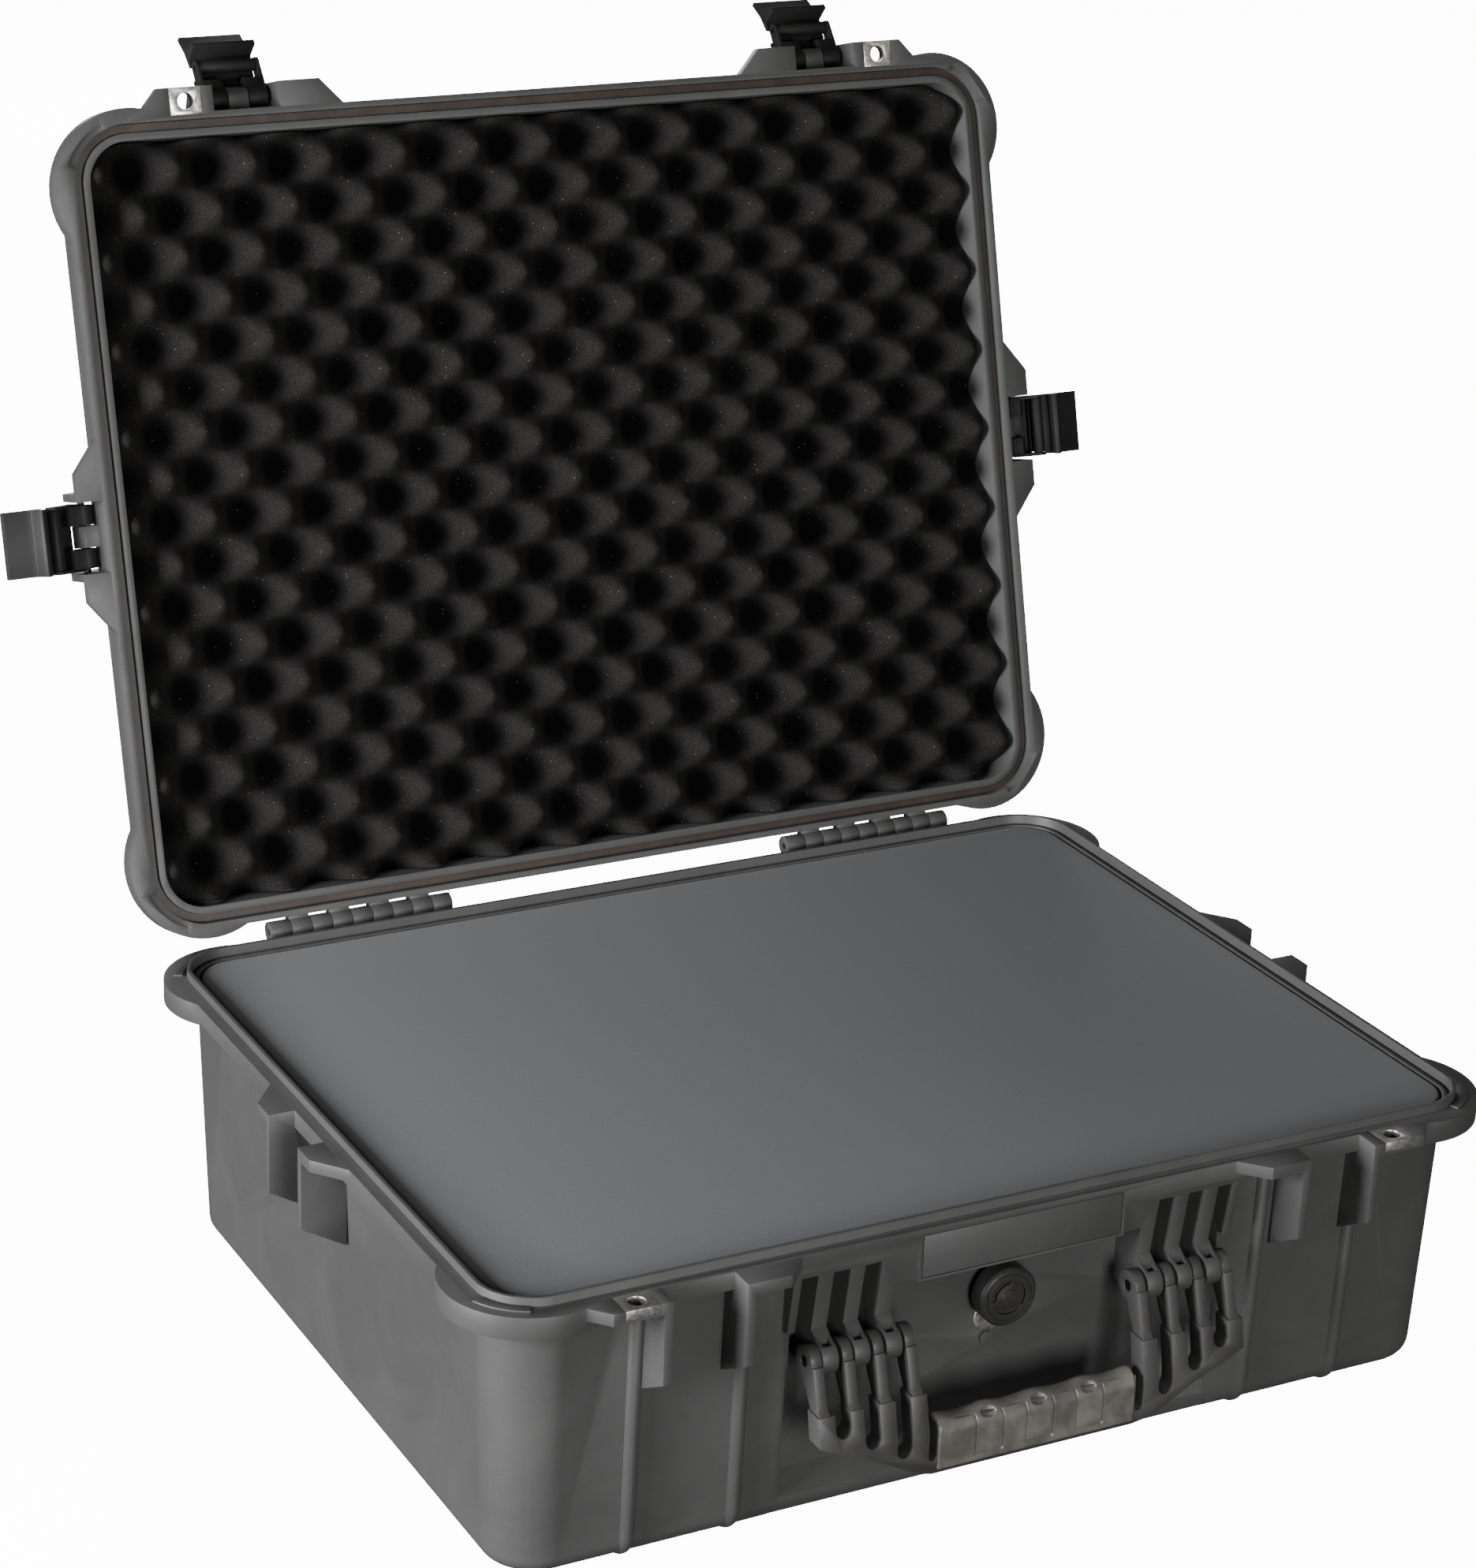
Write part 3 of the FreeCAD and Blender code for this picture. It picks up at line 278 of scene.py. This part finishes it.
@dataclass(frozen=True)
class StampedStainlessSteel:
    """Stamped and tumbled stainless steel: bright, with short random brush marks."""

    name: str
    base: str
    roughness: float = 0.32
    mark_mm: float = 0.7
    mark_depth_mm: float = 0.01

    def build(self) -> bpy.types.Material:
        """Make the material."""
        g = Graph(self.name)
        place = g.add("TexCoord").outputs["Object"]
        stretch = g.add("Mapping", {"Vector": place, "Scale": (1.0, 6.0, 1.0)})
        marks = g.add("TexNoise", {"Vector": stretch.outputs[0],
                                   "Scale": grain_scale(self.mark_mm * 4), "Detail": 4.0})
        rough = g.add("MapRange", {"Value": marks.outputs["Fac"],
                                   "From Min": 0.3, "From Max": 0.7,
                                   "To Min": self.roughness - 0.08,
                                   "To Max": self.roughness + 0.12})
        bump = g.add("Bump", {"Height": marks.outputs["Fac"],
                              "Distance": self.mark_depth_mm * MM, "Strength": 1.0})
        shader = g.add("BsdfPrincipled", {"Base Color": linear(self.base), "Metallic": 1.0,
                                          "Roughness": rough.outputs[0],
                                          "Normal": bump.outputs[0]})
        return g.finish(shader)


@dataclass(frozen=True)
class StudioPaper:
    """Pale seamless studio paper that glows evenly, so that the ground reads near white."""

    name: str = "seamless_paper"
    tone: str = "#f6f6f6"
    glow: float = 14.0

    def build(self) -> bpy.types.Material:
        """Make the material."""
        g = Graph(self.name)
        shader = g.add("BsdfPrincipled", {"Base Color": linear(self.tone), "Roughness": 0.9,
                                          "Emission Color": linear(self.tone),
                                          "Emission Strength": self.glow})
        return g.finish(shader)


@dataclass
class Finishes:
    """Every material of the case, made once."""

    shell: bpy.types.Material = field(init=False)
    latch: bpy.types.Material = field(init=False)
    handle: bpy.types.Material = field(init=False)
    knob: bpy.types.Material = field(init=False)
    base_foam: bpy.types.Material = field(init=False)
    lid_foam: bpy.types.Material = field(init=False)
    grip: bpy.types.Material = field(init=False)
    seal: bpy.types.Material = field(init=False)
    plate: bpy.types.Material = field(init=False)
    pin: bpy.types.Material = field(init=False)
    stem: bpy.types.Material = field(init=False)

    def __post_init__(self) -> None:
        """Build the materials."""
        poly, foam, rubber, steel = (SparkErodedPolypropylene, PolyurethaneFoam, MouldedRubber,
                                     StampedStainlessSteel)
        self.shell = poly("polypropylene_shell", "#393938", "#434342", 0.52).build()
        # The latch tone is set far darker than the shell: partly the latch's own dark plastic, partly painted
        # shade matching latch faces that lie in shade.
        self.latch = poly("polypropylene_latch", "#161615", "#201f1f", 0.58, gloss=0.22).build()
        self.handle = poly("polypropylene_handle", "#343332", "#444342", 0.42).build()
        self.knob = poly("polypropylene_knob", "#232221", "#302f2e", 0.36).build()
        # Each foam's third colour is its painted glint speck.
        self.base_foam = foam("polyurethane_base_foam", "#464749", "#4f5052", "#57585b",
                              cell_mm=0.9, cell_depth_mm=0.08).build()
        # The lid foam's near-black pit colour is painted shade for its egg-crate pits.
        self.lid_foam = foam("polyurethane_convoluted_foam", "#131211", "#232120", "#666563",
                             sheen=0.0, pit="#020202").build()
        # The grip's pale second colour is a painted highlight mottle.
        self.grip = rubber("thermoplastic_elastomer_grip", "#494743", "#65625d", 0.42).build()
        self.seal = rubber("neoprene_seal", "#241d1a", "#33291f", 0.45).build()
        self.plate = steel("stainless_plate", "#e4dfd8", 0.36).build()
        self.pin = steel("blackened_steel_pin", "#2c2c2d", 0.4).build()
        self.stem = steel("brass_stem", "#b79a55", 0.3).build()


# ---- mesh helpers --------------------------------------------------------------------------------

def link(name: str, mesh: bpy.types.Mesh) -> bpy.types.Object:
    """Put a mesh in the scene as a named object."""
    piece = bpy.data.objects.new(name, mesh)
    bpy.context.scene.collection.objects.link(piece)
    return piece


def dress(piece: bpy.types.Object, material: bpy.types.Material) -> None:
    """Give the whole piece one material."""
    piece.data.materials.clear()
    piece.data.materials.append(material)


def smooth(piece: bpy.types.Object, angle: float = 32.0) -> None:
    """Shade smooth, with sharp edges where faces meet at a wide angle.

    Args:
        piece: the piece.
        angle: the angle in degrees above which an edge is sharp.
    """
    mesh = piece.data
    mesh.polygons.foreach_set("use_smooth", [True] * len(mesh.polygons))
    mesh.set_sharp_from_angle(angle=math.radians(angle))


def applied(piece: bpy.types.Object) -> bpy.types.Object:
    """Replace the piece's mesh with its modified one and clear its modifiers.

    Args:
        piece: the piece.

    Returns:
        The same piece.
    """
    graph = bpy.context.evaluated_depsgraph_get()
    mesh = bpy.data.meshes.new_from_object(piece.evaluated_get(graph))
    piece.modifiers.clear()
    piece.data = mesh
    return piece


def mesh_from(name: str, points: list, faces: list) -> bpy.types.Object:
    """Make an object from points and faces.

    Args:
        name: name of the object and its mesh.
        points: places in metres.
        faces: tuples of point numbers.

    Returns:
        The new object.
    """
    mesh = bpy.data.meshes.new(name)
    mesh.from_pydata([tuple(p) for p in points], [], faces)
    mesh.validate()
    mesh.update()
    return link(name, mesh)


def body_of(node: str) -> str:
    """Name of the CAD body that a node rides on."""
    bodies = FRAME["record"]["behaviour"]["bodies"]
    return next(body for body, members in bodies.items() if node in members)


def stand_in(piece: bpy.types.Object, *nodes: str) -> bpy.types.Object:
    """Let a piece ride on its nodes' body and stand for them, with the nodes hidden.

    Args:
        piece: the new piece.
        nodes: the CAD nodes that it stands for.

    Returns:
        The same piece.
    """
    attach(piece, body_of(nodes[0]))
    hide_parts(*nodes)
    return piece


def softened(node: str, edge_mm: float, steps: int = 2,
             reshape: Callable[[bmesh.types.BMesh], None] | None = None) -> bpy.types.Object:
    """Copy a CAD node with moulded, slightly rounded edges in place of its sharp ones.

    Args:
        node: the CAD node.
        edge_mm: edge rounding.
        steps: segments of each rounding.
        reshape: a change to the copy before its edges are rounded.

    Returns:
        The new piece, riding where the node rides.
    """
    mesh = bpy.data.meshes.new(node + "_moulded")
    bm = bmesh.new()
    bm.from_mesh(FRAME["nodes"][node].data)
    bmesh.ops.remove_doubles(bm, verts=bm.verts, dist=WELD_M)
    bmesh.ops.dissolve_limit(bm, angle_limit=math.radians(FLAT_DEG), verts=bm.verts, edges=bm.edges)
    if reshape:
        reshape(bm)
    bm.to_mesh(mesh)
    bm.free()
    for extra in ("custom_normal", "sharp_edge", "sharp_face"):
        if extra in mesh.attributes:
            mesh.attributes.remove(mesh.attributes[extra])
    piece = link(node + "_moulded", mesh)
    bevel = piece.modifiers.new("edges", "BEVEL")
    bevel.width = edge_mm * MM
    bevel.segments = steps
    bevel.limit_method = "ANGLE"
    bevel.angle_limit = math.radians(BEVEL_DEG)
    bevel.use_clamp_overlap = True
    bevel.miter_outer = "MITER_ARC"
    applied(piece)
    smooth(piece)
    return stand_in(piece, node)


class LidPose:
    """Turns points between the closed lid and the lid at rest."""

    def __init__(self) -> None:
        """Read the hinge from the frame."""
        joint = next(j for j in FRAME["joints"] if j["name"] == "lid_hinge")
        self.centre = Vector(joint["pos_m"])
        self.axis = Vector(joint["axis"])
        self.angle = math.radians(joint["range_deg"][1])

    def to_rest(self) -> Matrix:
        """Matrix from closed-lid places to the rest pose."""
        turn = Matrix.Rotation(-self.angle, 4, self.axis)
        return Matrix.Translation(self.centre) @ turn @ Matrix.Translation(-self.centre)

    def closed_box(self, node: str) -> tuple[Vector, Vector]:
        """Find a lid node's box with the lid closed.

        Args:
            node: the CAD node.

        Returns:
            Its lowest and highest corner.
        """
        back = self.to_rest().inverted()
        points = [back @ v.co for v in FRAME["nodes"][node].data.vertices]
        low = Vector([min(p[i] for p in points) for i in range(3)])
        high = Vector([max(p[i] for p in points) for i in range(3)])
        return low, high


# ---- sub-assemblies ------------------------------------------------------------------------------

@dataclass
class Shells:
    """Base and lid mouldings with the blank name plate."""

    finishes: Finishes
    edge_mm: float = 0.7
    plate_edge_mm: float = 0.35
    heel_half_mm: float = 128.5
    heel_centre_mm: tuple = (-198.2, 13.0)
    heel_r_mm: float = 10.0

    def round_heel(self, bm: bmesh.types.BMesh) -> None:
        """Pull the front bottom edge under the hand recess in to the rounding beside it.

        The CAD node is square there, a fault of its own. Only corners that the mesh already has
        are moved, so the result is two flat facets near the round.

        Args:
            bm: the base shell's mesh.
        """
        y, z = (c * MM for c in self.heel_centre_mm)
        for vert in bm.verts:
            dy, dz = vert.co.y - y, vert.co.z - z
            far = math.hypot(dy, dz) / (self.heel_r_mm * MM)
            if dy < 0 and dz < 0 and far > 1.0 and abs(vert.co.x) < self.heel_half_mm * MM:
                vert.co.y, vert.co.z = y + dy / far, z + dz / far

    def build(self) -> None:
        """Round and dress the mouldings."""
        dress(softened("base_shell", self.edge_mm, reshape=self.round_heel), self.finishes.shell)
        dress(softened("lid_shell", self.edge_mm), self.finishes.shell)
        LOG.info("shells moulded")
        dress(softened("name_plate", self.plate_edge_mm), self.finishes.shell)


@dataclass
class ConvolutedFoam:
    """Egg-crate foam that fills the lid."""

    finishes: Finishes
    pose: LidPose
    pitch_x_mm: float = 44.4
    pitch_y_mm: float = 47.6
    pit_x_mm: float = -245.4
    pit_y_mm: float = -193.0
    wave_mm: float = 12.5
    step_mm: float = 2.4
    corner_mm: float = 21.0
    shape_power: float = 0.85
    uneven: float = 0.10
    uneven_per_m: float = 14.0
    ripple_mm: float = 0.35
    ripple_per_m: float = 160.0
    lift_mm: float = 0.1
    lean_mm: float = 1.6

    def height(self, x: float, y: float) -> float:
        """Work out how far the wavy face lies above the foam's lowest level.

        Args:
            x: place across the closed lid, in metres.
            y: place along it.

        Returns:
            The distance in metres: most at the bottom of a pit.
        """
        across = math.cos(2 * math.pi * (x / MM - self.pit_x_mm) / self.pitch_x_mm)
        along = math.cos(2 * math.pi * (y / MM - self.pit_y_mm) / self.pitch_y_mm)
        wave = 0.5 * (1 + across * along)
        shaped = wave ** self.shape_power
        broad, fine = self.uneven_per_m, self.ripple_per_m
        uneven = 1.0 + self.uneven * noise.noise(Vector((x * broad, y * broad, 0.3)))
        ripple = self.ripple_mm * noise.noise(Vector((x * fine, y * fine, 1.7)))
        return (2 * self.wave_mm * shaped * uneven + ripple) * MM

    def build(self) -> None:
        """Build the sheet: a wavy face, sides and a flat back."""
        low, high = self.pose.closed_box("lid_foam")
        hx = (high.x - low.x) / 2
        hy = (high.y - low.y) / 2
        corner = self.corner_mm * MM
        nx = round(2 * hx / (self.step_mm * MM))
        ny = round(2 * hy / (self.step_mm * MM))
        points = []
        for j in range(ny + 1):
            y = -hy + 2 * hy * j / ny
            over = max(0.0, abs(y) - (hy - corner))
            limit = hx - corner + math.sqrt(max(0.0, corner ** 2 - over ** 2))
            for i in range(nx + 1):
                x = limit * (2 * i / nx - 1)
                points.append((x, y, low.z + self.height(x, y) + self.lift_mm * MM))
        faces = []
        row = nx + 1
        for j in range(ny):
            for i in range(nx):
                a = j * row + i
                faces.append((a, a + row, a + row + 1, a + 1))
        rim = list(range(row)) + [j * row + nx for j in range(1, ny + 1)]
        rim += [ny * row + i for i in range(nx - 1, -1, -1)]
        rim += [j * row for j in range(ny - 1, 0, -1)]
        start = len(points)
        lean = 1 - self.lean_mm * MM / hx
        for index in rim:
            x, y, _ = points[index]
            points.append((x * lean, y * lean, high.z))
        count = len(rim)
        for k in range(count):
            n = (k + 1) % count
            faces.append((rim[k], rim[n], start + n, start + k))
        faces.append(tuple(range(start, start + count)))
        foam = mesh_from("lid_foam_convoluted", points, faces)
        # The depth stored here drives the painted shade in the foam's colour, darkest at the bottom of each pit.
        pit = foam.data.attributes.new("pit", "FLOAT", "POINT")
        for k, point in enumerate(points[:start]):
            pit.data[k].value = (point[2] - low.z) / (2 * self.wave_mm * MM)
        foam.data.transform(self.pose.to_rest())
        smooth(foam, SOFT_FORM_DEG)
        dress(foam, self.finishes.lid_foam)
        stand_in(foam, "lid_foam")
        LOG.info("lid foam with %d faces", len(faces))


@dataclass
class BaseFoam:
    """Foam layers that fill the base: only the top one shows."""

    finishes: Finishes
    edge_mm: float = 1.6
    lower_edge_mm: float = 1.0

    def build(self) -> None:
        """Round each layer's edges and dress it."""
        for layer, edge in (("top", self.edge_mm), ("middle", self.lower_edge_mm),
                            ("bottom", self.lower_edge_mm)):
            piece = softened("base_foam_" + layer, edge, steps=3)
            dress(piece, self.finishes.base_foam)
        LOG.info("base foam laid")


@dataclass
class Grip:
    """Moulded sleeve with finger swells, and three outlined pads that end in oval dimples."""

    finishes: Finishes
    pads_mm: tuple = (-28.0, 1.0, 30.0)
    pad_half_mm: float = 7.6
    pad_low_mm: float = 5.0
    pad_high_mm: float = 26.5
    groove_mm: float = 0.55
    groove_depth_mm: float = 0.7
    dimple_mm: tuple = (4.4, 2.9)
    dimple_depth_mm: float = 1.8
    swell_mm: float = 2.0
    corners_mm: tuple = (1.2, 8.5, 5.0, 1.2)
    corner_steps: int = 12
    outline_step_mm: float = 0.45
    row_step_mm: float = 0.5
    end_mm: float = 1.5
    end_round_mm: float = 0.8

    def section(self, low: Vector, high: Vector) -> list[tuple[float, float, float, float, float]]:
        """Outline the sleeve from the side, from the foot of its front round to the back.

        Args:
            low: lowest corner of the sleeve's box.
            high: highest corner.

        Returns:
            Position y and z, outward direction y and z, and the length run so far, in metres.
        """
        r = [c * MM for c in self.corners_mm]
        turns = ((low.y, low.z, -1, -1, r[0]), (low.y, high.z, -1, 1, r[1]),
                 (high.y, high.z, 1, 1, r[2]), (high.y, low.z, 1, -1, r[3]))
        points = []
        for k, (y, z, sy, sz, radius) in enumerate(turns):
            cy, cz = y - sy * radius, z - sz * radius
            begin = math.radians(270 - 90 * k)
            for i in range(self.corner_steps + 1):
                angle = begin - math.radians(90) * i / self.corner_steps
                points.append((cy + radius * math.cos(angle), cz + radius * math.sin(angle),
                               math.cos(angle), math.sin(angle)))
        dense = []
        run = 0.0
        for a, b in zip(points, points[1:] + points[:1]):
            span = math.hypot(b[0] - a[0], b[1] - a[1])
            count = max(1, round(span / (self.outline_step_mm * MM)))
            for i in range(count):
                t = i / count
                dense.append(tuple(a[j] + (b[j] - a[j]) * t for j in range(4)) + (run + span * t,))
            run += span
        return dense

    def sunk(self, x: float, run: float) -> float:
        """Work out how far the skin lies under the plain sleeve.

        Args:
            x: place along the sleeve, in mm.
            run: length run round its outline, in mm.

        Returns:
            The depth in mm.
        """
        deep = 0.0
        for pad in self.pads_mm:
            across = abs(x - pad)
            beside = (abs(across - self.pad_half_mm) < self.groove_mm
                      and self.pad_low_mm < run < self.pad_high_mm)
            under = abs(run - self.pad_low_mm) < self.groove_mm and across < self.pad_half_mm
            if beside or under:
                deep = max(deep, self.groove_depth_mm)
            oval = (((x - pad) / self.dimple_mm[0]) ** 2
                    + ((run - self.pad_high_mm) / self.dimple_mm[1]) ** 2)
            if oval < 1:
                deep = max(deep, self.dimple_depth_mm * (1 - oval) ** 0.5)
        return deep

    def build(self) -> None:
        """Sweep the outline along the sleeve."""
        corners = [v.co for v in FRAME["nodes"]["handle_grip"].data.vertices]
        low = Vector([min(c[i] for c in corners) for i in range(3)])
        high = Vector([max(c[i] for c in corners) for i in range(3)])
        outline = self.section(low, high)
        rows = round((high.x - low.x) / (self.row_step_mm * MM))
        pitch = self.pads_mm[1] - self.pads_mm[0]
        points = []
        for j in range(rows + 1):
            x = low.x + (high.x - low.x) * j / rows
            end = min(1.0, (x - low.x) / (self.end_mm * MM), (high.x - x) / (self.end_mm * MM))
            rounding = self.end_round_mm * (1 - math.sqrt(max(0.0, 1 - (1 - end) ** 2)))
            phase = 2 * math.pi * (x / MM - self.pads_mm[1]) / pitch
            dip = self.swell_mm * 0.5 * (1 - math.cos(phase))
            for y, z, ny, nz, run in outline:
                upper = max(0.0, nz) ** 1.5
                sink = (self.sunk(x / MM, run / MM) + rounding + dip * upper) * MM
                points.append((x, y - ny * sink, z - nz * sink))
        count = len(outline)
        faces = [tuple(range(count))[::-1], tuple(rows * count + k for k in range(count))]
        for j in range(rows):
            for k in range(count):
                n = (k + 1) % count
                faces.append((j * count + k, j * count + n,
                              (j + 1) * count + n, (j + 1) * count + k))
        sleeve = mesh_from("handle_grip_sleeve", points, faces)
        smooth(sleeve, SOFT_FORM_DEG)
        dress(sleeve, self.finishes.grip)
        stand_in(sleeve, "handle_grip")


@dataclass
class Handle:
    """Fold-down handle with its rubber grip and pins."""

    finishes: Finishes
    edge_mm: float = 0.8

    def build(self) -> None:
        """Round the frame and model the grip."""
        dress(softened("handle_frame", self.edge_mm), self.finishes.handle)
        Grip(self.finishes).build()
        for side in Side:
            dress(FRAME["nodes"]["handle_pin_" + side.name.lower()], self.finishes.pin)
        LOG.info("handle built")


@dataclass
class Latches:
    """The four double-throw latches on the lid."""

    finishes: Finishes
    edge_mm: float = 0.6

    def build(self) -> None:
        """Round and dress each latch's link and lever, and its pins."""
        for place in Place:
            for part in ("latch_link_", "latch_lever_"):
                dress(softened(part + place.value, self.edge_mm), self.finishes.latch)
            for pin in ("latch_pin_", "latch_bar_pin_"):
                dress(FRAME["nodes"][pin + place.value], self.finishes.pin)
            LOG.info("latch %s built", place.value)


@dataclass
class Fittings:
    """Padlock plates, valve, seal and hinge pins."""

    finishes: Finishes
    plate_edge_mm: float = 0.3
    knob_edge_mm: float = 0.4

    def build(self) -> None:
        """Dress the fittings."""
        for side in Side:
            name = side.name.lower()
            for node in ("base_lock_plate_", "lid_lock_plate_"):
                dress(softened(node + name, self.plate_edge_mm), self.finishes.plate)
            dress(FRAME["nodes"]["hinge_pin_" + name], self.finishes.pin)
        dress(FRAME["nodes"]["lid_seal"], self.finishes.seal)
        dress(FRAME["nodes"]["valve_seal"], self.finishes.seal)
        dress(softened("valve_knob", self.knob_edge_mm), self.finishes.knob)
        dress(FRAME["nodes"]["valve_nut"], self.finishes.stem)
        dress(FRAME["nodes"]["valve_stem"], self.finishes.stem)
        dress(FRAME["nodes"]["vent_disc"], self.finishes.plate)
        LOG.info("fittings dressed")


@dataclass
class Studio:
    """Floor, soft lights and the camera."""

    eye: tuple = (-0.9569, -1.6800, 1.0538)
    look: tuple = (0.4429, 0.8189, -0.3650)
    right: tuple = (0.8854, -0.4635, 0.0347)
    lens_mm: float = 91.36
    sensor_mm: float = 36.0
    floor_half_m: float = 12.0
    ambient: float = 0.07

    def build(self) -> None:
        """Make the floor, lights, world and camera."""
        self.floor()
        self.light("key", (-2.1, -0.3, 0.62), (0.0, 0.0, 0.15), 1.0, 150.0, "#fbfcff")
        self.light("front", (-0.45, -3.0, 0.72), (0.0, 0.0, 0.18), 1.1, 92.0, "#ffffff")
        self.light("rim", (2.0, -1.2, 2.2), (0.0, 0.0, 0.2), 1.2, 3.0, "#fff3e6")
        self.light("back", (0.9, 3.2, 1.3), (0.0, 0.0, 0.2), 1.6, 60.0, "#ffffff")
        world = bpy.data.worlds.new("studio")
        world.use_nodes = True
        shade = world.node_tree.nodes["Background"]
        shade.inputs["Color"].default_value = linear("#ffffff")
        shade.inputs["Strength"].default_value = self.ambient
        bpy.context.scene.world = world
        self.camera()

    def floor(self) -> None:
        """Lay a large pale sheet under the case, which neither lights it nor is mirrored in it."""
        half = self.floor_half_m
        corners = [(-half, -half, 0), (half, -half, 0), (half, half, 0), (-half, half, 0)]
        floor = mesh_from("floor", corners, [(0, 1, 2, 3)])
        dress(floor, StudioPaper().build())
        floor.visible_diffuse = False
        floor.visible_glossy = False

    def light(self, name: str, eye: tuple, aim: tuple, size: float, power: float,
              tone: str) -> None:
        """Hang one square area light.

        Args:
            name: the light's name.
            eye: where it hangs.
            aim: what it points at.
            size: side of the panel in metres.
            power: watts.
            tone: sRGB hex colour.
        """
        data = bpy.data.lights.new(name, "AREA")
        data.energy = power
        data.size = size
        data.color = linear(tone)[:3]
        lamp = bpy.data.objects.new(name, data)
        lamp.location = eye
        lamp.rotation_euler = (Vector(aim) - Vector(eye)).to_track_quat("-Z", "Y").to_euler()
        bpy.context.scene.collection.objects.link(lamp)

    def camera(self) -> None:
        """Place the camera."""
        data = bpy.data.cameras.new("camera")
        data.lens = self.lens_mm
        data.sensor_width = self.sensor_mm
        data.clip_end = 50.0
        back = -Vector(self.look).normalized()
        right = Vector(self.right).normalized()
        up = back.cross(right).normalized()
        right = up.cross(back)
        camera = bpy.data.objects.new("camera", data)
        turn = Matrix((right, up, back)).transposed().to_4x4()
        camera.matrix_world = Matrix.Translation(Vector(self.eye)) @ turn
        bpy.context.scene.collection.objects.link(camera)
        bpy.context.scene.camera = camera


def main() -> None:
    """Build every sub-assembly in order."""
    logging.basicConfig(level=logging.INFO, format="%(message)s")
    finishes = Finishes()
    pose = LidPose()
    Shells(finishes).build()
    ConvolutedFoam(finishes, pose).build()
    BaseFoam(finishes).build()
    Handle(finishes).build()
    Latches(finishes).build()
    Fittings(finishes).build()
    Studio().build()


if __name__ == "__main__":
    main()
